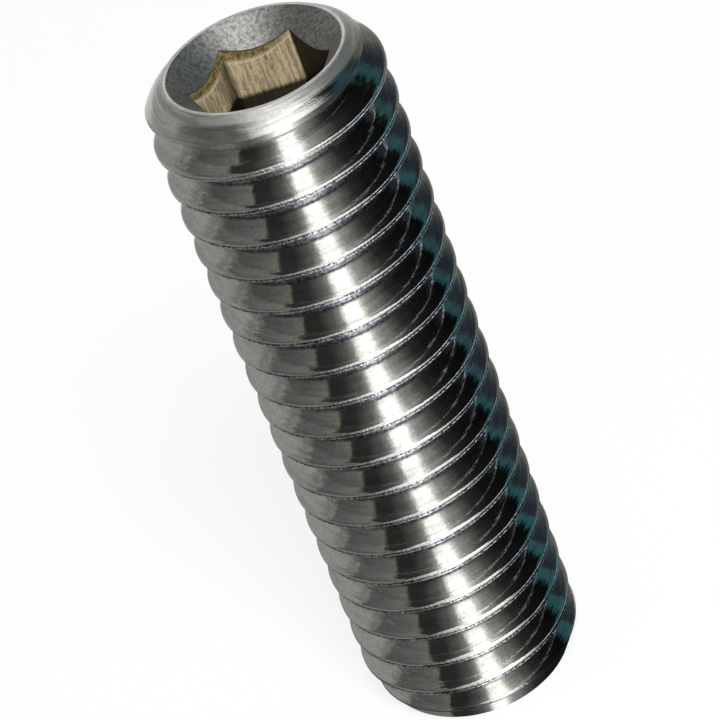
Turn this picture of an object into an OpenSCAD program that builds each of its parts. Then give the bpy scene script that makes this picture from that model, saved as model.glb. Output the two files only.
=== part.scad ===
// Socket set screw: a headless, fully threaded screw driven by a hexagon socket in one end.
// It stands on its point end with its axis on Z, the socket opening upward.
// Sizes in millimetres.

/* [Thread] */
// Diameter over the thread crests
thread_d = 5.92; // [5:0.02:8]
// Axial distance from one crest to the next
pitch = 1; // [0.9:0.05:1.25]
// Length of the screw from end to end
screw_l = 19.6; // [10:0.1:24]
// Width of the flat on the crest, as a share of the pitch
crest_share = 0.125; // [0.1:0.005:0.2]
// Radial height of the thread, as a share of the pitch
height_share = 0.6134; // [0.5:0.001:0.65]
// Height of a crest's middle above the point end on the +X side, as a share of the pitch
start_share = 0.613; // [0:0.001:0.999]
// Steps the thread takes in one turn
steps = 48; // [24:4:48]

/* [Socket] */
// Width of the hexagon across its flats
hex_af = 3.05; // [2.5:0.01:3.2]
// Depth at which the hexagon's flats end
hex_depth = 3.5; // [2:0.1:5]
// Diameter of the countersink at the socket's mouth
mouth_d = 4.33; // [3.9:0.01:4.4]
// Angle of the countersink from wall to wall
mouth_angle = 90; // [60:5:120]
// Angle of the drill point at the bottom of the socket
drill_angle = 118; // [90:2:150]

/* [Ends] */
// Diameter of the flat ring round the socket's mouth
top_d = 4.51; // [4.42:0.01:4.7]
// Height of the chamfer at the socket end
top_chamfer_h = 0.71; // [0.3:0.01:1.2]
// Diameter of the flat face at the point end
point_d = 5.16; // [3:0.02:5.4]
// Height of the chamfer at the point end
point_chamfer_h = 0.72; // [0.3:0.01:1.2]

/* [Hidden] */
$fn = 96;
steel_color = "#9a9a96";
flank_angle = 30;
hex_sides = 6;
// the swept thread stands this far past the crests, so that the turned blank gives them their diameter
over = 0.08;
// cutting tools pass the faces they open by this much
clear = 0.5;
thread_r = thread_d / 2;
height = height_share * pitch;
crest_w = crest_share * pitch;
root_r = thread_r - height;
flank_w = height * tan(flank_angle);
over_w = crest_w - 2 * over * tan(flank_angle);
// turns of thread swept, one spare turn below and two above the blank
turns = ceil(screw_l / pitch) + 3;
// corners of one tooth going up: [height from the crest's middle, radius]
tooth = [
    [-over_w / 2, thread_r + over],
    [over_w / 2, thread_r + over],
    [crest_w / 2 + flank_w, root_r],
    [pitch - crest_w / 2 - flank_w, root_r]
];
first_z = (start_share - 1) * pitch;

// Solid inside a single-start right-hand thread, longer than the screw at both ends.
// Each column of points is the whole row of teeth at one angle. The column after a full
// turn would be the first one raised by a pitch, so those points are shared.
module thread_sweep() {
    corners = len(tooth);
    column = [
        for (k = [0 : turns - 1]) for (p = tooth) [first_z + k * pitch + p[0], p[1]],
        [first_z + turns * pitch + tooth[0][0], tooth[0][1]]
    ];
    rows = len(column);
    points = [
        for (i = [0 : steps]) for (p = column)
            [p[1] * cos(360 * i / steps), p[1] * sin(360 * i / steps), p[0] + pitch * i / steps]
    ];
    function at(i, j) = i < steps ? i * rows + j
        : (j + corners < rows ? j + corners : steps * rows + j);
    low = len(points);
    high = low + 1;
    ends = [[0, 0, first_z - 2 * pitch], [0, 0, first_z + (turns + 3) * pitch]];
    wall = [
        for (i = [0 : steps - 1]) for (j = [0 : rows - 2])
            each [[at(i, j), at(i, j + 1), at(i + 1, j + 1)], [at(i, j), at(i + 1, j + 1), at(i + 1, j)]]
    ];
    floor_fan = [
        for (i = [0 : steps - 1]) [at(i, 0), at(i + 1, 0), low],
        for (j = [0 : corners - 1]) [at(0, j + 1), at(0, j), low]
    ];
    roof_fan = [
        for (i = [0 : steps - 1]) [at(i + 1, rows - 1), at(i, rows - 1), high],
        for (j = [rows - 1 - corners : rows - 2]) [at(steps, j), at(steps, j + 1), high]
    ];
    polyhedron(
        points = concat(points, ends),
        faces = concat(wall, floor_fan, roof_fan),
        convexity = 10
    );
}

// The turned blank: crest diameter, with a chamfer at each end
module blank() {
    rotate_extrude()
        polygon([
            [0, 0],
            [point_d / 2, 0],
            [thread_r, point_chamfer_h],
            [thread_r, screw_l - top_chamfer_h],
            [top_d / 2, screw_l],
            [0, screw_l]
        ]);
}

// The hexagon with its countersunk mouth, and the drill point left below the flats
module socket() {
    mouth_r = mouth_d / 2;
    mouth_h = mouth_r / tan(mouth_angle / 2);
    mouth_clear = clear * tan(mouth_angle / 2);
    drill_h = hex_af / 2 / tan(drill_angle / 2);
    translate([0, 0, screw_l - hex_depth])
        cylinder(d = hex_af / cos(180 / hex_sides), h = hex_depth + clear, $fn = hex_sides);
    translate([0, 0, screw_l - mouth_h])
        cylinder(r1 = 0, r2 = mouth_r + mouth_clear, h = mouth_h + clear);
    translate([0, 0, screw_l - hex_depth - drill_h])
        cylinder(r1 = 0, r2 = hex_af / 2, h = drill_h);
}

module set_screw() {
    color(steel_color)
        difference() {
            intersection() {
                thread_sweep();
                blank();
            }
            socket();
        }
}

set_screw();
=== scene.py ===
"""Looks for a hexagon socket set screw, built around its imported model.

The screw's surface is swept by a Geometry Nodes tree: a helical thread, cut to the turned
blank and opened by the hexagon socket. Sizes are in metres unless a name says otherwise.
"""
import math

import bpy
from bpy.props import FloatProperty, FloatVectorProperty, IntProperty, PointerProperty
from mathutils import Matrix, Vector


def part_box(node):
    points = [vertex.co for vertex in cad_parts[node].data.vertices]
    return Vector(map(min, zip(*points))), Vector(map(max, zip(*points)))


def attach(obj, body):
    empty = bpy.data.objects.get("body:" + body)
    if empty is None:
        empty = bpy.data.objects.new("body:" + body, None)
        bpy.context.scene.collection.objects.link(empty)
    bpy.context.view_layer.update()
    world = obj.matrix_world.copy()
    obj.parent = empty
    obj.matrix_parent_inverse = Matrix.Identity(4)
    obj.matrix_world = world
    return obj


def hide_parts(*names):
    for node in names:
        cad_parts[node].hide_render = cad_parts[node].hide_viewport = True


bl_info = {
    "name": "Socket Set Screw",
    "version": (1, 0, 0),
    "blender": (4, 5, 0),
    "location": "3D View > Sidebar > Set Screw",
    "description": "Builds a fully threaded set screw with a hexagon socket, and a plain studio for it",
    "category": "Object",
}

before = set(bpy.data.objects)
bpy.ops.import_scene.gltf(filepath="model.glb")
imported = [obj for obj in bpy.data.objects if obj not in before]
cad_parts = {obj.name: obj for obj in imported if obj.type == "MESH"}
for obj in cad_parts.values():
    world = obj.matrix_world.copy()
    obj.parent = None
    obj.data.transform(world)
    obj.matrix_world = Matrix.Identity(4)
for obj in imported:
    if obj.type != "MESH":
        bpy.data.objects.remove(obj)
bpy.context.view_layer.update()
LOW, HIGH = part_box("set_screw")
MM = 0.001


# ---------------------------------------------------------------- node trees

class Link:
    """A node's output. Python's operators on it add Math nodes."""

    def __init__(self, maker, socket):
        self.maker = maker
        self.socket = socket

    def math(self, operation, *others):
        return self.maker.math(operation, self, *others)

    def output(self, name):
        return Link(self.maker, self.socket.node.outputs[name])

    def __add__(self, other):
        return self.math("ADD", other)

    def __radd__(self, other):
        return self.maker.math("ADD", other, self)

    def __sub__(self, other):
        return self.math("SUBTRACT", other)

    def __rsub__(self, other):
        return self.maker.math("SUBTRACT", other, self)

    def __mul__(self, other):
        return self.math("MULTIPLY", other)

    def __rmul__(self, other):
        return self.maker.math("MULTIPLY", other, self)

    def __truediv__(self, other):
        return self.math("DIVIDE", other)

    def __rtruediv__(self, other):
        return self.maker.math("DIVIDE", other, self)

    def __neg__(self):
        return self.math("MULTIPLY", -1.0)

    def __lt__(self, other):
        return self.math("LESS_THAN", other)

    def __gt__(self, other):
        return self.math("GREATER_THAN", other)

    def floor(self):
        return self.math("FLOOR")

    def fract(self):
        return self.math("FRACT")

    def sin(self):
        return self.math("SINE")

    def cos(self):
        return self.math("COSINE")

    def abs(self):
        return self.math("ABSOLUTE")


class Maker:
    """Adds nodes to one tree, laid out in columns."""

    def __init__(self, tree):
        self.tree = tree
        self.count = 0

    def node(self, kind, settings=None, values=None, out=0):
        """Adds a node of a type, makes its settings, then fills its sockets with values or links.

        values are a list in the sockets' order, or a dict by name or identifier. A list in them
        goes to a socket that takes many links. The result is the output named by out, or the
        node itself where it has none.
        """
        made = self.tree.nodes.new(kind)
        made.location = (self.count // 6 * 200, self.count % 6 * -190)
        self.count += 1
        for key, value in (settings or {}).items():
            if key == "stops":
                self._stops(made.color_ramp, value)
            elif key == "items":
                while len(made.index_switch_items) < value:
                    made.index_switch_items.new()
            else:
                setattr(made, key, value)
        pairs = values.items() if isinstance(values, dict) else enumerate(values or [])
        for key, value in pairs:
            socket = self._socket(made, key)
            for part in value if isinstance(value, list) else [value]:
                if isinstance(part, Link):
                    self.tree.links.new(part.socket, socket)
                else:
                    socket.default_value = part
        return Link(self, made.outputs[out]) if len(made.outputs) else made

    def math(self, operation, *values):
        return self.node("ShaderNodeMath", {"operation": operation}, list(values))

    def clamp01(self, value):
        return self.node("ShaderNodeClamp", None, {"Value": value})

    def step(self, value, low, high):
        """0 below low, 1 above high, with a smooth rise between."""
        return self.node("ShaderNodeMapRange", {"interpolation_type": "SMOOTHSTEP"},
                         {"Value": value, "From Min": low, "From Max": high})

    def vector(self, x, y, z):
        return self.node("ShaderNodeCombineXYZ", None, [x, y, z])

    def mix_colour(self, factor, first, second):
        return self.node("ShaderNodeMix", {"data_type": "RGBA"},
                         {"Factor_Float": factor, "A_Color": first, "B_Color": second}, out=2)

    def noise(self, vector, scale, detail, rough, w=None):
        """Soft noise, about 0.5 in the middle. w is a fourth direction to vary it along."""
        settings = {"noise_dimensions": "3D" if w is None else "4D"}
        values = {"Vector": vector, "Scale": scale, "Detail": detail, "Roughness": rough}
        if w is not None:
            values["W"] = w
        return self.node("ShaderNodeTexNoise", settings, values)

    @staticmethod
    def _socket(made, key):
        if isinstance(key, int):
            return made.inputs[key]
        for socket in made.inputs:
            if socket.identifier == key:
                return socket
        return made.inputs[key]

    @staticmethod
    def _stops(ramp, stops):
        ends = (stops[0], stops[-1])
        for element, (position, colour) in zip(ramp.elements, ends):
            element.position = position
            element.color = colour
        for position, colour in stops[1:-1]:
            ramp.elements.new(position).color = colour


# ---------------------------------------------------------------- settings

class ScrewSizes(bpy.types.PropertyGroup):
    """Sizes of the screw's visible surface."""

    thread_d: FloatProperty(name="Thread Diameter", description="Diameter over the crests",
                            default=HIGH[0] - LOW[0], unit="LENGTH", precision=5)
    length: FloatProperty(name="Length", description="Length from end to end",
                          default=HIGH[2] - LOW[2], unit="LENGTH", precision=5)
    pitch: FloatProperty(name="Pitch", description="Distance from one crest to the next",
                         default=1.0 * MM, unit="LENGTH", precision=5)
    crest_w: FloatProperty(name="Crest Width", description="Width of the flat on each crest",
                           default=0.125 * MM, unit="LENGTH", precision=6)
    height: FloatProperty(name="Thread Height", description="Radial height from root to crest",
                          default=0.6134 * MM, unit="LENGTH", precision=6)
    start: FloatProperty(name="Start Height", description="Height of the first crest on the +X side",
                         default=0.613 * MM, unit="LENGTH", precision=6)
    edge_round: FloatProperty(name="Crest Edge Rounding", description="Radius of the crest's edges",
                              default=0.055 * MM, unit="LENGTH", precision=6)
    seam_w: FloatProperty(name="Crest Seam Width", description="Width of the seam left by rolling",
                          default=0.06 * MM, unit="LENGTH", precision=6)
    seam_h: FloatProperty(name="Crest Seam Depth", description="Depth of the seam left by rolling",
                          default=0.009 * MM, unit="LENGTH", precision=6)
    steps: IntProperty(name="Steps per Turn", description="Steps of the sweep in one turn",
                       default=144, min=48, max=192)
    hex_af: FloatProperty(name="Across Flats", description="Width of the hexagon across its flats",
                          default=3.05 * MM, unit="LENGTH", precision=5)
    hex_depth: FloatProperty(name="Hexagon Depth", description="Depth at which the flats end",
                             default=3.5 * MM, unit="LENGTH", precision=5)
    mouth_d: FloatProperty(name="Mouth Diameter", description="Diameter of the countersink's mouth",
                           default=4.33 * MM, unit="LENGTH", precision=5)
    top_d: FloatProperty(name="Socket End Diameter", description="Diameter of the flat ring at the mouth",
                         default=4.51 * MM, unit="LENGTH", precision=5)
    top_chamfer: FloatProperty(name="Socket End Chamfer", description="Height of the chamfer there",
                               default=0.71 * MM, unit="LENGTH", precision=5)
    point_d: FloatProperty(name="Point Diameter", description="Diameter of the flat point face",
                           default=5.16 * MM, unit="LENGTH", precision=5)
    point_chamfer: FloatProperty(name="Point Chamfer", description="Height of the chamfer there",
                                 default=0.72 * MM, unit="LENGTH", precision=5)


class SteelLook(bpy.types.PropertyGroup):
    """Colours and polish of the steel."""

    bright: FloatVectorProperty(name="Bright Steel", description="Colour of the rolled flanks",
                                subtype="COLOR", size=3, default=(0.60, 0.60, 0.585))
    # painted shade: the colour painted into the roots and the crest's seam
    groove: FloatVectorProperty(name="Groove Shade", description="Colour of the dark film in the grooves",
                                subtype="COLOR", size=3, default=(0.035, 0.04, 0.075))
    straw: FloatVectorProperty(name="Broached Steel", description="Warm colour of the broached walls",
                               subtype="COLOR", size=3, default=(0.71, 0.575, 0.36))
    torn_dark: FloatVectorProperty(name="Torn Band, Dark", description="Darkest colour of the torn band",
                                   subtype="COLOR", size=3, default=(0.08, 0.062, 0.023))
    torn_light: FloatVectorProperty(name="Torn Band, Light", description="Palest colour of the torn band",
                                    subtype="COLOR", size=3, default=(0.36, 0.28, 0.11))
    # painted highlight: the colour of the bright line along the lip
    lip: FloatVectorProperty(name="Broached Lip", description="Colour of the bright lip under the band",
                             subtype="COLOR", size=3, default=(0.80, 0.70, 0.50))
    # painted shade: the colour of the rim's shadow, the unlit wall and the dark corner in the socket
    painted_shade: FloatVectorProperty(name="Painted Socket Shade", description="Colour of the oil in the socket",
                             subtype="COLOR", size=3, default=(0.012, 0.011, 0.008))
    polish: FloatProperty(name="Flank Roughness", description="Roughness of the rolled flanks",
                          subtype="FACTOR", default=0.055, min=0.02, max=0.8)


class StudioSetup(bpy.types.PropertyGroup):
    """Where the camera stands, how it is turned, and its lens."""

    azimuth: FloatProperty(name="Camera Azimuth", description="Turn of the camera about the screw",
                           subtype="ANGLE", default=math.radians(-83.6))
    elevation: FloatProperty(name="Camera Elevation", description="Angle of the camera above level",
                             subtype="ANGLE", default=math.radians(36.886))
    roll: FloatProperty(name="Camera Roll", description="Lean of the camera about its own axis",
                        subtype="ANGLE", default=math.radians(-20.795))
    distance: FloatProperty(name="Camera Distance", description="From the screw's axis to the camera",
                            default=78.226 * MM, unit="LENGTH", precision=5)
    aim: FloatProperty(name="Aim Height", description="Height of the point the camera turns about",
                       default=8.581 * MM, unit="LENGTH", precision=5)
    pan: FloatProperty(name="Camera Pan", description="Small turn that sets the screw in the frame",
                       subtype="ANGLE", default=math.radians(-0.137))
    tilt: FloatProperty(name="Camera Tilt", description="Small tilt that sets the screw in the frame",
                        subtype="ANGLE", default=math.radians(1.055))
    lens: FloatProperty(name="Lens", description="Focal length", subtype="DISTANCE_CAMERA",
                        default=153.62)


# ---------------------------------------------------------------- steel

def new_material(name):
    material = bpy.data.materials.new(name)
    material.use_nodes = True
    material.node_tree.nodes.clear()
    return material, Maker(material.node_tree)


def finish_material(maker, values):
    shader = maker.node("ShaderNodeBsdfPrincipled", None, values)
    maker.node("ShaderNodeOutputMaterial", None, {"Surface": shader})


def toned(colour, share=1.0):
    """A colour at a share of its level, as a node's socket takes it."""
    return tuple(c * share for c in colour) + (1,)


def bar_coordinates(maker):
    """Place and distance from the axis in millimetres, and the turn round it in whole turns."""
    place = maker.node("ShaderNodeTexCoord", out="Object")
    axes = maker.node("ShaderNodeSeparateXYZ", None, [place])
    x = axes * 1000
    y = axes.output("Y") * 1000
    z = axes.output("Z") * 1000
    radius = (x * x + y * y).math("SQRT")
    turn = y.math("ARCTAN2", x) / math.tau
    return x, y, z, radius, turn


def rolled_steel(sizes, look):
    """The outside: mottled rolled flanks, painted shade in the crest's seam, the roots and the point's
    chamfer, and turned ends.
    """
    material, make = new_material("rolled_steel")
    x, y, z, radius, turn = bar_coordinates(make)
    crest_r = sizes.thread_d / 2 / MM
    height = sizes.height / MM
    length = sizes.length / MM
    place = make.vector(x, y, z)
    # rise is 0 at the root and 1 at the crest, and across is pitches above the nearest crest's middle
    rise = make.clamp01((radius - (crest_r - height)) / height)
    across = ((z - sizes.start / MM) / (sizes.pitch / MM) - turn + 0.5).fract() - 0.5

    # the turned ends: the flat ring, both chamfers and the point face. The socket end's chamfer
    # swells about 0.04 past its straight line
    top_r = sizes.top_d / 2 / MM
    point_r = sizes.point_d / 2 / MM
    top_line = top_r + (length - z) * ((crest_r - top_r) / (sizes.top_chamfer / MM)) + 0.04
    point_line = point_r + z * ((crest_r - point_r) / (sizes.point_chamfer / MM))
    on_top = 1 - make.step((radius - top_line).abs(), 0.045, 0.06)
    on_point = 1 - make.step((radius - point_line).abs(), 0.015, 0.03)
    flat = make.step((z - length / 2).abs(), length / 2 - 0.01, length / 2 - 0.002)
    turned = make.clamp01(on_top + on_point + flat)
    rolled = 1 - turned
    # the ring and the chamfer's inner half are turned more roughly than its outer half
    inner = on_top * (1 - make.step(radius, top_r + 0.15, top_r + 0.3)) + flat

    grain = make.noise(place, scale=9.0, detail=4.0, rough=0.75)
    fine = make.noise(place, scale=26.0, detail=2.0, rough=0.6)
    speck = make.step(make.noise(place, scale=14.0, detail=2.0, rough=0.7), 0.46, 0.56)
    blotches = make.step(make.noise(place, scale=12.0, detail=3.0, rough=0.7), 0.42, 0.60)
    uneven = make.noise(place, scale=5.0, detail=3.0, rough=0.6)
    # streaks that run round the screw, and break up on the way
    rings = make.noise(place, scale=0.5, detail=2.0, rough=0.65, w=radius * 16)
    mottle = make.step(grain, 0.5, 0.75) * rolled

    # painted shade, dark blue, fills the roots and the seam, and beads of it sit on the seam's lower lip
    crest_half = sizes.crest_w / sizes.pitch / 2
    crest = (1 - make.step(across.abs(), crest_half * 0.8, crest_half * 1.3)) * rolled
    root = (1 - make.step(rise + (grain - 0.5) * 0.25, 0.02, 0.16)) * rolled
    seam = 1 - make.step((across - crest_half * 0.1).abs(), crest_half * 0.3, crest_half * 0.5)
    lip = 1 - make.step((across + crest_half * 0.45).abs(), crest_half * 0.2, crest_half * 0.4)
    seam_shade = make.clamp01(seam * (0.45 + speck * 0.5) + lip * speck * 0.8) * make.step(rise, 0.9, 0.96)
    # the painted shade is weakest on the first turn under the socket, which is almost clean of it
    top_fade = 0.25 + make.step(length - z, 1.0, 1.9) * 0.75
    dark = make.clamp01((root * (0.5 + blotches * 0.4) + seam_shade * rolled) * top_fade)

    streaked = (turned * 0.7 + rolled * 0.35) * make.step(rings, 0.45, 0.6)
    worn = make.step(grain, 0.35, 0.7) * 0.45 + streaked
    flank = make.mix_colour(worn, toned(look.bright), toned(look.bright, 0.6))
    # painted shade: the point's chamfer faces the floor and is painted the darkest of the turned ends
    flank = make.mix_colour(on_point * 0.9, flank, toned(look.bright, 0.2))
    # painted shade in the roots and the seam
    colour = make.mix_colour(dark, flank, toned(look.groove))
    roughness = (look.polish + crest * 0.06 + root * 0.25 + turned * 0.06 + inner * 0.3
                 + mottle * 0.06 + on_point * 0.1)
    bump = make.node("ShaderNodeBump", None, {
        "Strength": 0.4,
        "Distance": 0.004 * MM,
        "Height": (fine * 0.1 + grain * 0.45 + crest * speck * 2.0 + rolled * (uneven + rings * 2.5)
                   + turned * (rings * 14 + grain) + inner * rings * 6),
    })
    finish_material(make, {
        "Base Color": colour,
        "Metallic": 1 - inner * 0.06,
        "Roughness": roughness,
        "Normal": bump,
    })
    return material


def socket_steel(sizes, look):
    """Countersink and broached hexagon: rough turned cone above, upright broach lines below."""
    material, make = new_material("socket_steel")
    x, y, z, radius, turn = bar_coordinates(make)
    cone_r = sizes.mouth_d / 2 / MM
    depth = sizes.length / MM - z
    # the countersink's wall is where radius and depth together make the mouth's radius
    on_cone = 1 - make.step((radius + depth - cone_r).abs(), 0.01, 0.035)
    on_walls = 1 - on_cone

    upright = make.noise(make.vector(x, y, z * 0.08), scale=18.0, detail=3.0, rough=0.75)
    patches = make.noise(make.vector(x, y, z * 0.6), scale=2.6, detail=3.0, rough=0.6)
    mottle = make.noise(make.vector(x, y, z), scale=11.0, detail=4.0, rough=0.75)

    # the broach leaves a torn band just under the countersink, widest at one corner; along the lip under
    # it a highlight is painted
    torn_w = 0.37 - (x + 0.9).abs() * 0.13
    torn_z = (depth - (cone_r - radius) + (upright - 0.5) * 0.12) / torn_w
    torn = (1 - make.step(torn_z, 0.75, 1.0)) * on_walls * (0.95 - make.step(x, 0.0, 0.8) * 0.6)
    lip = (1 - make.step((torn_z - 1.1).abs(), 0.05, 0.15)) * on_walls

    # painted shade: dark at the bottom for the near rim's shadow, over one whole wall as if it were
    # unlit, and in the corner opposite
    hex_r = sizes.hex_af / 2 / MM
    painted_rim_shadow = make.step(depth + (upright - 0.5) * 0.08, hex_r + 0.25, hex_r + 0.4) * 0.95
    painted_wall_shade = make.step(x, 0.84, 0.9)
    past_corner = (turn * 6 + 0.5).fract() - 0.5
    at_corner = make.step(past_corner, -0.06, 0.0) * (1 - make.step(past_corner, 0.02, 0.3))
    painted_corner_shade = at_corner * make.step(x * -1, 0.6, 0.8) * make.step(torn_z, 0.7, 1.0) * 0.8
    painted_shade = make.clamp01(painted_rim_shadow + painted_wall_shade + painted_corner_shade)

    shade = make.clamp01(make.step(upright, 0.38, 0.62) * 0.7 + make.step(patches, 0.5, 0.7) * 0.2
                         + make.step(mottle, 0.5, 0.65) * 0.3)
    walls = make.mix_colour(shade, toned(look.straw), toned(look.straw, 0.25))
    ragged = make.mix_colour(make.step(mottle, 0.4, 0.6), toned(look.torn_dark), toned(look.torn_light))
    walls = make.mix_colour(torn, walls, ragged)
    # a painted highlight along the lip
    walls = make.mix_colour(lip * 0.5, walls, toned(look.lip))
    # painted shade over the socket's walls
    walls = make.mix_colour(painted_shade, walls, toned(look.painted_shade))
    cone = make.mix_colour(make.step(mottle, 0.35, 0.68), toned(look.bright, 0.75),
                           toned(look.bright, 0.30))
    bump = make.node("ShaderNodeBump", None, {
        "Strength": 0.6,
        "Distance": 0.01 * MM,
        "Height": on_walls * (upright * 1.6 - torn * 2) + on_cone * mottle * 1.4,
    })
    # the broached walls are so rough that they look matt rather than metallic
    finish_material(make, {
        "Base Color": make.mix_colour(on_cone, walls, cone),
        "Metallic": 0.15 + on_cone * 0.85,
        "Roughness": 0.45 - on_cone * 0.09 + mottle * 0.12,
        "Specular IOR Level": 0.2,
        "Normal": bump,
    })
    return material


# ---------------------------------------------------------------- screw

TREE_INPUTS = [
    ("Thread Diameter", "thread_d"), ("Length", "length"), ("Pitch", "pitch"),
    ("Crest Width", "crest_w"), ("Thread Height", "height"), ("Start Height", "start"),
    ("Crest Edge Rounding", "edge_round"), ("Seam Width", "seam_w"), ("Seam Depth", "seam_h"),
    ("Steps per Turn", "steps"), ("Across Flats", "hex_af"), ("Hexagon Depth", "hex_depth"),
    ("Mouth Diameter", "mouth_d"), ("Socket End Diameter", "top_d"),
    ("Socket End Chamfer", "top_chamfer"), ("Point Diameter", "point_d"),
    ("Point Chamfer", "point_chamfer"),
]
EDGE_STEPS = 3
FLANK_ANGLE = math.radians(30)
# degrees that the socket end's chamfer leans from 45, at its inner, middle and outer third
CHAMFER_LEANS = (-8, 0, 8)
# the drill's point is 118 degrees, which leaves 31 between its wall and level
DRILL_RISE = math.radians(31)
CHAMFER_SIDES = 288
MOUTH_SIDES = 192
DRILL_SIDES = 96
FLAT_SIDES = 12
SHARP_ANGLE = math.radians(26)
WELD = 1e-7


def tooth_line(size):
    """One tooth going up, as offsets from the crest's middle and radii."""
    radius = size["thread_d"] / 2
    half = size["crest_w"] / 2
    flank_w = size["height"] * math.tan(FLANK_ANGLE)
    root_r = radius - size["height"]
    edge = size["edge_round"]
    reach = edge * math.tan(FLANK_ANGLE)
    side = []
    for k in range(EDGE_STEPS + 1):
        lean = math.radians(60 * k / EDGE_STEPS)
        side.append((half - reach + edge * math.sin(lean), radius - edge * (1 - math.cos(lean))))
    # one more row on the flank close to the crest keeps the flank's own shading flat
    side.append((side[-1][0] + edge * 0.5, side[-1][1] - edge * math.cos(FLANK_ANGLE)))
    seam = size["seam_w"] / 2
    seam_r = radius - size["seam_h"]
    tooth = [(-w, r) for w, r in reversed(side)]
    tooth += [(-seam, radius), (seam * -0.45, seam_r), (seam * 0.45, seam_r), (seam, radius)]
    tooth += side
    tooth += [(half + flank_w, root_r), (size["pitch"] - half - flank_w, root_r)]
    return tooth


def screw_tree():
    """The Geometry Nodes tree that sweeps, cuts and finishes the screw."""
    tree = bpy.data.node_groups.new("Set Screw", "GeometryNodeTree")
    face = tree.interface
    for name, key in TREE_INPUTS:
        kind = "NodeSocketInt" if key == "steps" else "NodeSocketFloat"
        face.new_socket(name, in_out="INPUT", socket_type=kind)
    for name in ("Thread Material", "Socket Material"):
        face.new_socket(name, in_out="INPUT", socket_type="NodeSocketMaterial")
    face.new_socket("Geometry", in_out="OUTPUT", socket_type="NodeSocketGeometry")
    make = Maker(tree)
    source = make.node("NodeGroupInput")
    size = {key: source.output(name) for name, key in TREE_INPUTS}
    radius = size["thread_d"] / 2
    pitch = size["pitch"]
    length = size["length"]

    # a flat grid, one column for each step of the turn, is bent round into the thread
    tooth = tooth_line(size)
    points = len(tooth)
    turns = (length / pitch).math("CEIL") + 3
    rows = turns * points + 1
    steps = size["steps"]
    grid = make.node("GeometryNodeMeshGrid", None, {"Vertices X": steps + 1, "Vertices Y": rows})
    index = make.node("GeometryNodeInputIndex")
    column = ((index + 0.5) / rows).floor()
    row = index - column * rows
    lap = ((row + 0.5) / points).floor()
    corner = row - lap * points
    offset = make.node("GeometryNodeIndexSwitch", {"data_type": "FLOAT", "items": points},
                       [corner] + [w for w, r in tooth])
    out_r = make.node("GeometryNodeIndexSwitch", {"data_type": "FLOAT", "items": points},
                      [corner] + [r for w, r in tooth])
    share = column / steps
    z = size["start"] + (lap + share - 1) * pitch + offset
    angle = share * math.tau
    swept = make.node("GeometryNodeSetPosition", None, {
        "Geometry": grid,
        "Position": make.vector(out_r * angle.cos(), out_r * angle.sin(), z),
    })
    # the last column of a turn lies on the first of the next one up
    joined = make.node("FunctionNodeBooleanMath", {"operation": "OR"},
                       [column < 0.5, column > steps - 0.5])
    swept = make.node("GeometryNodeMergeByDistance", None,
                      {"Geometry": swept, "Selection": joined, "Distance": WELD})

    # both open ends are drawn together to a point on the axis, outside the blank
    faces = make.node("GeometryNodeInputMeshEdgeNeighbors")
    rim = make.node("FunctionNodeCompare", {"data_type": "INT", "operation": "EQUAL"},
                    {"A_INT": faces, "B_INT": 1})
    fan = make.node("GeometryNodeExtrudeMesh", {"mode": "EDGES"},
                    {"Mesh": swept, "Selection": rim, "Offset Scale": 0.0})
    height = make.node("ShaderNodeSeparateXYZ", None, [make.node("GeometryNodeInputPosition")], out=2)
    tip = make.vector(0.0, 0.0, (height > length / 2) * (length + pitch * 8) - pitch * 4)
    closed = make.node("GeometryNodeSetPosition", None,
                       {"Geometry": fan, "Selection": fan.output("Top"), "Position": tip})
    closed = make.node("GeometryNodeMergeByDistance", None, {"Geometry": closed, "Distance": WELD})

    def cone(low_r, high_r, low_z, high_z, sides):
        made = make.node("GeometryNodeMeshCone", None, {
            "Vertices": sides, "Radius Top": high_r, "Radius Bottom": low_r, "Depth": high_z - low_z})
        return make.node("GeometryNodeTransform", None,
                         {"Geometry": made, "Translation": make.vector(0.0, 0.0, low_z)})

    # the blank: a cone for each end's chamfer, each running well past the other end
    clear = pitch * 0.5
    spare = pitch * 2
    point_r = size["point_d"] / 2
    point_slope = (radius - point_r) / size["point_chamfer"]
    reach_up = length + spare
    blanks = [cone(point_r, point_r + reach_up * point_slope, 0.0, reach_up, CHAMFER_SIDES)]
    # the socket end's chamfer swells a little: three cones in turn, each steeper than the last
    leans = [math.radians(45 + lean) for lean in CHAMFER_LEANS]
    widths = [math.cos(lean) for lean in leans]
    edge_r, edge_z = size["top_d"] / 2, length
    wide = radius - edge_r
    for lean, width in zip(leans, widths):
        # the cone's wall passes through the corner reached so far
        slope = math.tan(lean)
        blanks.append(cone(edge_r + (edge_z + spare) / slope, edge_r - (length - edge_z + clear) / slope,
                           spare * -1, length + clear, CHAMFER_SIDES))
        step_r = wide * (width / sum(widths))
        edge_r, edge_z = edge_r + step_r, edge_z - step_r * slope
    flat_top = cone(radius * 2, radius * 2, spare * -1, length, FLAT_SIDES)
    body = make.node("GeometryNodeMeshBoolean", {"operation": "INTERSECT", "solver": "MANIFOLD"},
                     {"Mesh 2": [closed, flat_top] + blanks})

    # the socket's cutters
    floor_z = length - size["hex_depth"]
    mouth_r = size["mouth_d"] / 2
    hex_r = size["hex_af"] / 2
    corner_r = hex_r / math.cos(math.pi / 6)
    drill_h = hex_r * math.tan(DRILL_RISE)
    hexagon = cone(corner_r, corner_r, floor_z, length + clear, 6)
    mouth = cone(0.0, mouth_r + clear, length - mouth_r, length + clear, MOUTH_SIDES)
    drill = cone(0.0, hex_r, floor_z - drill_h, floor_z, DRILL_SIDES)
    body = make.node("GeometryNodeMeshBoolean", {"operation": "DIFFERENCE", "solver": "MANIFOLD"},
                     {"Mesh 1": body, "Mesh 2": [hexagon, mouth, drill]})

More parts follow.
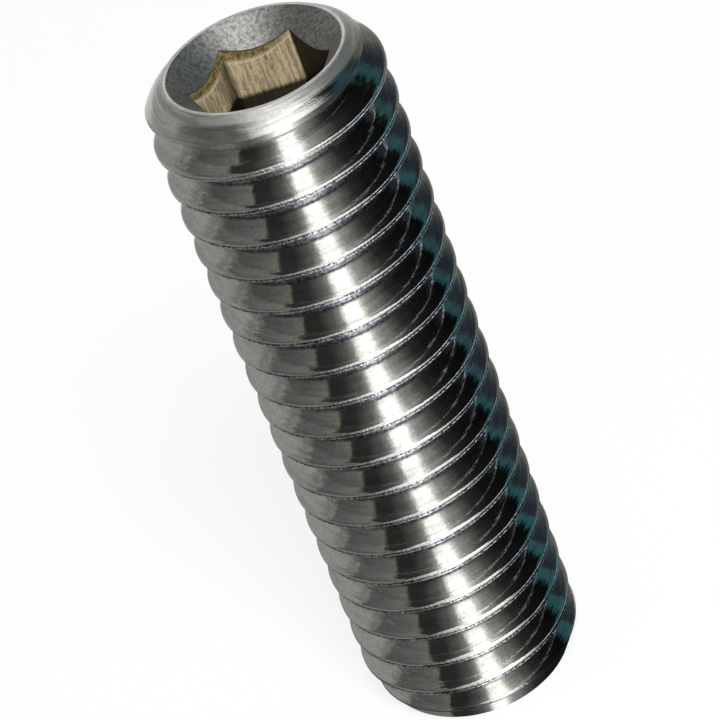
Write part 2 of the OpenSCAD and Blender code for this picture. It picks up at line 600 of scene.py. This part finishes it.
    smooth = make.node("GeometryNodeSetShadeSmooth", {"domain": "FACE"},
                       {"Geometry": body, "Shade Smooth": True})
    bend = make.node("GeometryNodeInputMeshEdgeAngle")
    smooth = make.node("GeometryNodeSetShadeSmooth", {"domain": "EDGE"},
                       {"Geometry": smooth, "Selection": bend > SHARP_ANGLE, "Shade Smooth": False})
    real = make.node("GeometryNodeRealizeInstances", None, {"Geometry": smooth})
    spot_x = make.node("ShaderNodeSeparateXYZ", None, [make.node("GeometryNodeInputPosition")])
    spot_y, spot_z = spot_x.output("Y"), spot_x.output("Z")
    spot_r = (spot_x * spot_x + spot_y * spot_y).math("SQRT")
    inside = (spot_r < mouth_r) * (spot_z > length * 0.5) * (spot_z < length - 0.004 * MM)
    real = make.node("GeometryNodeSetMaterial", None,
                     {"Geometry": real, "Material": source.output("Thread Material")})
    real = make.node("GeometryNodeSetMaterial", None, {
        "Geometry": real, "Selection": inside, "Material": source.output("Socket Material")})
    make.node("NodeGroupOutput", None, {"Geometry": real})
    return tree


def baked(name, tree, values):
    """Runs a tree on an empty mesh and keeps the result as a plain mesh."""
    piece = bpy.data.objects.new(name, bpy.data.meshes.new(name))
    bpy.context.scene.collection.objects.link(piece)
    modifier = piece.modifiers.new("Shape", "NODES")
    modifier.node_group = tree
    for item in tree.interface.items_tree:
        if item.in_out == "INPUT":
            modifier[item.identifier] = values[item.name]
    graph = bpy.context.evaluated_depsgraph_get()
    mesh = bpy.data.meshes.new_from_object(piece.evaluated_get(graph), depsgraph=graph)
    piece.modifiers.remove(modifier)
    piece.data = mesh
    if not mesh.polygons:
        raise RuntimeError(name + " came out empty")
    return piece


class SETSCREW_OT_screw(bpy.types.Operator):
    """Sweep the thread, cut the ends and the socket, and finish the steel"""

    bl_idname = "setscrew.screw"
    bl_label = "Set Screw"

    def execute(self, context):
        sizes = context.scene.set_screw_sizes
        look = context.scene.set_screw_steel
        values = {name: getattr(sizes, key) for name, key in TREE_INPUTS}
        values["Thread Material"] = rolled_steel(sizes, look)
        values["Socket Material"] = socket_steel(sizes, look)
        piece = baked("screw_surface", screw_tree(), values)
        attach(piece, "root")
        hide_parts("set_screw")
        return {"FINISHED"}


# ---------------------------------------------------------------- studio

WHITE = (1, 1, 1, 1)
FLOOR_COLOUR = (0.95, 0.95, 0.95, 1)
# how much of the floor's look is its own glow; the rest is lit and takes the shadow
FLOOR_GLOW = 0.83
# how strongly the room lights the screw; it is full white where it is seen or mirrored
ROOM_LIGHT = 0.3
FLOOR_REACH = 3.0
# the floor lies just under the screw, and the card on it just above the floor
FLOOR_GAP = 0.01 * MM
CARD_GAP = 0.005 * MM
ARCH_RADIUS = 0.35
ARCH_SIDES = 60
# where one arch ends and the next begins, from far behind the screw to the camera's side
ARCH_ENDS = (-1.2, -0.13, 0.08, 0.27, 0.9)
FAN_RADIUS = 0.6
FAN_SIDES = 96
# the middle of the floor's reflections lies this far in front of the axis
FAN_CENTRE = 1.4 * MM
# share of a card's light that bright steel mirrors
MIRRORED = 0.6
LAMP_TURN = math.radians(12)
LAMP_ELEVATION = math.radians(52)
LAMP_DISTANCE = 0.3
LAMP_SIZE = 0.12
LAMP_POWER = 0.95
LAMP_TARGET = Vector((0, 0, 0.01))


def direction(azimuth, elevation):
    flat = math.cos(elevation)
    return Vector((flat * math.cos(azimuth), flat * math.sin(azimuth), math.sin(elevation)))


def place_camera(studio):
    """A camera turned about the screw, then rolled about its own axis."""
    middle = (LOW + HIGH) / 2
    aim = Vector((middle.x, middle.y, LOW[2] + studio.aim))
    out = direction(studio.azimuth, studio.elevation)
    forward = -out
    right = forward.cross(Vector((0, 0, 1))).normalized()
    up = right.cross(forward)
    panned = forward * math.cos(studio.pan) + right * math.sin(studio.pan)
    right = right * math.cos(studio.pan) - forward * math.sin(studio.pan)
    tilted = panned * math.cos(studio.tilt) + up * math.sin(studio.tilt)
    up = up * math.cos(studio.tilt) - panned * math.sin(studio.tilt)
    turned_right = right * math.cos(studio.roll) + up * math.sin(studio.roll)
    turned_up = up * math.cos(studio.roll) - right * math.sin(studio.roll)
    lens = bpy.data.cameras.new("camera")
    lens.lens = studio.lens
    lens.sensor_width = 36.0
    lens.clip_start = 0.001
    lens.clip_end = 10.0
    camera = bpy.data.objects.new("camera", lens)
    turned = Matrix((turned_right, turned_up, -tilted)).transposed().to_4x4()
    turned.translation = aim + out * studio.distance
    camera.matrix_world = turned
    bpy.context.scene.collection.objects.link(camera)
    bpy.context.scene.camera = camera


def seen_or_mirrored(make):
    """1 for rays from the camera and for rays that metal mirrors, else 0."""
    path = make.node("ShaderNodeLightPath")
    mirrored = path.output("Is Glossy Ray") + path.output("Is Transmission Ray")
    return make.clamp01(path.output("Is Camera Ray") + mirrored)


def make_floor():
    """A white floor that glows to the camera and in the metal, and keeps a soft shadow."""
    mesh = bpy.data.meshes.new("floor")
    reach = FLOOR_REACH
    corners = [(-reach, -reach, 0), (reach, -reach, 0), (reach, reach, 0), (-reach, reach, 0)]
    mesh.from_pydata(corners, [], [(0, 1, 2, 3)])
    floor = bpy.data.objects.new("floor", mesh)
    floor.location.z = LOW[2] - FLOOR_GAP
    bpy.context.scene.collection.objects.link(floor)
    material, make = new_material("floor_white")
    lit = make.node("ShaderNodeBsdfDiffuse", None, {"Color": FLOOR_COLOUR})
    glow = make.node("ShaderNodeEmission", None, {"Color": WHITE, "Strength": 1.0})
    both = make.node("ShaderNodeMixShader", None, [seen_or_mirrored(make) * FLOOR_GLOW, lit, glow])
    make.node("ShaderNodeOutputMaterial", None, {"Surface": both})
    mesh.materials.append(material)


def make_world():
    """A white room that lights the screw softly."""
    world = bpy.data.worlds.new("studio")
    world.use_nodes = True
    world.node_tree.nodes.clear()
    make = Maker(world.node_tree)
    strength = ROOM_LIGHT + seen_or_mirrored(make) * (1 - ROOM_LIGHT)
    back = make.node("ShaderNodeBackground", None, {"Color": WHITE, "Strength": strength})
    make.node("ShaderNodeOutputWorld", None, {"Surface": back})
    bpy.context.scene.world = world


def make_lamp(front):
    """A soft box that faces the screw from the camera's side."""
    lamp = bpy.data.lights.new("lamp_front", "AREA")
    lamp.shape = "RECTANGLE"
    lamp.size = LAMP_SIZE
    lamp.size_y = LAMP_SIZE
    lamp.energy = LAMP_POWER
    holder = bpy.data.objects.new("lamp_front", lamp)
    place = LAMP_TARGET + direction(front + LAMP_TURN, LAMP_ELEVATION) * LAMP_DISTANCE
    facing = (LAMP_TARGET - place).to_track_quat("-Z", "Y").to_matrix().to_4x4()
    holder.matrix_world = Matrix.Translation(place) @ facing
    # the cards are what the steel mirrors; the lamp itself would be one small hot spot in it
    holder.visible_glossy = False
    bpy.context.scene.collection.objects.link(holder)


def level(shade):
    """A card's level as a colour: a plain number is a slightly warm grey."""
    return shade if isinstance(shade, tuple) else (shade, shade, shade * 0.97)


def through(shade, share):
    """The level that a card needs where the steel passes on only a share of it."""
    return tuple(c / share for c in level(shade))


def dot(make, place, way):
    return make.node("ShaderNodeVectorMath", {"operation": "DOT_PRODUCT"}, [place, tuple(way)],
                     out="Value")


def add_reflector(name, points, faces, stops, angle_of):
    """A graded card that only shows as a reflection in the metal.

    angle_of gives the nodes for an angle in degrees, and each stop is an angle and a level.
    """
    mesh = bpy.data.meshes.new(name)
    mesh.from_pydata([tuple(p) for p in points], [], faces)
    card = bpy.data.objects.new(name, mesh)
    bpy.context.scene.collection.objects.link(card)
    material, make = new_material(name)
    low, high = stops[0][0], stops[-1][0]
    peak = max(max(level(shade)) for _, shade in stops)
    ramp = [((angle - low) / (high - low), (*(c / peak for c in level(shade)), 1))
            for angle, shade in stops]
    where = (angle_of(make, make.node("ShaderNodeTexCoord", out="Object")) - low) / (high - low)
    colour = make.node("ShaderNodeValToRGB", {"stops": ramp}, [where])
    glow = make.node("ShaderNodeEmission", None, {"Color": colour, "Strength": peak})
    make.node("ShaderNodeOutputMaterial", None, {"Surface": glow})
    mesh.materials.append(material)
    card.visible_camera = False
    card.visible_diffuse = False
    card.visible_shadow = False


def add_arch(name, near, far, front, stops):
    """A half-round reflector over the screw, from near to far along the camera's side.

    Its stops are degrees from the top, positive to the right.
    """
    right = Vector((0, 0, 1)).cross(front)
    rim = [math.radians(-90 + 180 * k / ARCH_SIDES) for k in range(ARCH_SIDES + 1)]
    points = []
    for along in (near, far):
        for a in rim:
            across = right * math.sin(a) * ARCH_RADIUS
            points.append(across + Vector((0, 0, math.cos(a) * ARCH_RADIUS)) + front * along)
    row = ARCH_SIDES + 1
    faces = [(k, k + 1, row + k + 1, row + k) for k in range(ARCH_SIDES)]

    def from_top(make, place):
        turn = dot(make, place, right).math("ARCTAN2", dot(make, place, (0, 0, 1)))
        return turn * math.degrees(1)

    add_reflector(name, points, faces, stops, from_top)


def add_fan(name, front, stops):
    """A flat round reflector just above the floor, graded in a fan about its centre.

    Its stops are degrees from the camera's side, positive to the right.
    """
    right = Vector((0, 0, 1)).cross(front)
    middle = front * FAN_CENTRE
    points = [direction(math.tau * k / FAN_SIDES, 0) * FAN_RADIUS for k in range(FAN_SIDES)]
    for point in points:
        point.z = LOW[2] - CARD_GAP

    def from_front(make, place):
        across = dot(make, place, right) - middle.dot(right)
        return across.math("ARCTAN2", dot(make, place, front) - middle.dot(front)) * math.degrees(1)

    add_reflector(name, points, [tuple(range(FAN_SIDES))], stops, from_front)


# Cards round the screw: degrees round it from the camera's side, and how bright the steel looks
# there. A strip light stands in front between black cards, with grey on the left and dark
# blue-green on the right.
CARDS = [
    (-90, 0.25), (-72, 0.19), (-60, 0.15), (-50, 0.075), (-44, (0.088, 0.092, 0.078)),
    (-40, (0.10, 0.095, 0.105)), (-30, (0.14, 0.14, 0.125)), (-26.8, (0.17, 0.16, 0.13)),
    (-26.2, 0.024), (-17, 0.026), (-9, 0.10), (-5, 0.26), (-2, 1.3), (5.5, 1.5), (8, 0.7),
    (11, 0.32), (20, 0.085), (25, 0.025), (33, 0.008), (50.5, 0.002), (51.5, (0.02, 0.075, 0.085)),
    (62, (0.035, 0.085, 0.10)), (64, 0.02), (90, 0.2),
]
# The arches' own levels, by degrees from the top. Colours with three numbers are bluish or
# blue-green cards.
PALE_BLUE = (1.0, 1.15, 1.35)
STRONG_BLUE = (1.3, 1.45, 1.7)
SLATE = (0.04, 0.06, 0.07)
SEA_GREEN = (0.03, 0.12, 0.13)
DIM_SLATE = (0.03, 0.04, 0.05)
OVERHEAD_SIDE = [
    (58, SLATE), (63, SLATE), (65, SEA_GREEN), (69, SEA_GREEN), (72, PALE_BLUE), (78, PALE_BLUE),
    (82, 0.05), (90, 0.05),
]
FRONT = [
    (-90, 0.35), (-70, 0.22), (-52, 0.20), (-40, 0.16), (-30, 0.22), (-20, 0.8), (-10, 1.6),
    (0, 2.2), (12, 2.2), (20, 1.9), (27, 1.1), (36, 0.35), (44, 0.12), (50, 0.03), (56, 0.02),
    (60, STRONG_BLUE), (78, STRONG_BLUE), (82, 0.05), (90, 0.05),
]
LOW_FRONT = [
    (-90, 0.25), (-58, 0.25), (-50, 0.7), (-30, 1.0), (-12, 1.9), (10, 2.4), (30, 1.7), (78, 1.5),
    (82, 0.1), (90, 0.1),
]
REAR = [
    (-90, 0.42), (-49.5, 0.42), (-48, 0.27), (-45.1, 0.27), (-44.9, 0.75), (-44.5, 0.75),
    (-44.3, 0.16), (-38, 0.18), (-28, 0.5), (-10, 0.65), (6, 0.65), (14, 1.8), (28, 1.8), (33, 0.1),
    (37, 0.006), (39, 0.008), (40, (0.03, 0.11, 0.12)), (43.5, (0.05, 0.11, 0.12)),
    (45.5, DIM_SLATE), (49, DIM_SLATE), (54, (0.07, 0.085, 0.10)), (60, (0.20, 0.20, 0.16)),
    (90, 0.40),
]


def overhead_stops():
    """The cards round the screw, as its flanks mirror them from the arch overhead."""
    over = [(turn * 0.9 - 5, through(shade, MIRRORED)) for turn, shade in CARDS]
    over[0] = (-90, over[0][1])
    return [stop for stop in over if stop[0] < 60] + OVERHEAD_SIDE


def floor_stops():
    """The same cards on the floor. Their light is mirrored by two flanks before it is seen."""
    low = [(turn * 2 - 2, through(shade, MIRRORED ** 2)) for turn, shade in CARDS if abs(turn) < 65]
    return [(-180, 0.9), (-140, 0.6)] + low + [(150, 0.6), (180, 0.9)]


class SETSCREW_OT_studio(bpy.types.Operator):
    """Set the camera, the floor, the lamp and the cards round the screw"""

    bl_idname = "setscrew.studio"
    bl_label = "Studio"

    def execute(self, context):
        studio = context.scene.set_screw_studio
        place_camera(studio)
        make_floor()
        make_world()
        context.scene.view_settings.view_transform = "Standard"
        out = direction(studio.azimuth, 0)
        arches = [("reflector_rear", REAR), ("reflector_overhead", overhead_stops()),
                  ("reflector_front", FRONT), ("reflector_low", LOW_FRONT)]
        for (name, stops), near, far in zip(arches, ARCH_ENDS, ARCH_ENDS[1:]):
            add_arch(name, near, far, out, stops)
        add_fan("reflector_floor", out, floor_stops())
        make_lamp(studio.azimuth)
        return {"FINISHED"}


# ---------------------------------------------------------------- add-on

class SETSCREW_PT_panel(bpy.types.Panel):
    """Lists the screw's settings and makers."""

    bl_idname = "SETSCREW_PT_panel"
    bl_label = "Set Screw"
    bl_space_type = "VIEW_3D"
    bl_region_type = "UI"
    bl_category = "Set Screw"

    def draw(self, context):
        layout = self.layout
        scene = context.scene
        for group in (scene.set_screw_sizes, scene.set_screw_steel, scene.set_screw_studio):
            box = layout.box()
            for key in group.__annotations__:
                box.prop(group, key)
        for operator in OPERATORS:
            layout.operator(operator.bl_idname)


GROUPS = (ScrewSizes, SteelLook, StudioSetup)
OPERATORS = (SETSCREW_OT_screw, SETSCREW_OT_studio)
CLASSES = GROUPS + OPERATORS + (SETSCREW_PT_panel,)


def register():
    for made in CLASSES:
        bpy.utils.register_class(made)
    bpy.types.Scene.set_screw_sizes = PointerProperty(type=ScrewSizes)
    bpy.types.Scene.set_screw_steel = PointerProperty(type=SteelLook)
    bpy.types.Scene.set_screw_studio = PointerProperty(type=StudioSetup)


def unregister():
    del bpy.types.Scene.set_screw_studio
    del bpy.types.Scene.set_screw_steel
    del bpy.types.Scene.set_screw_sizes
    for made in reversed(CLASSES):
        bpy.utils.unregister_class(made)


def main():
    register()
    bpy.ops.setscrew.screw()
    bpy.ops.setscrew.studio()


if __name__ == "__main__":
    main()
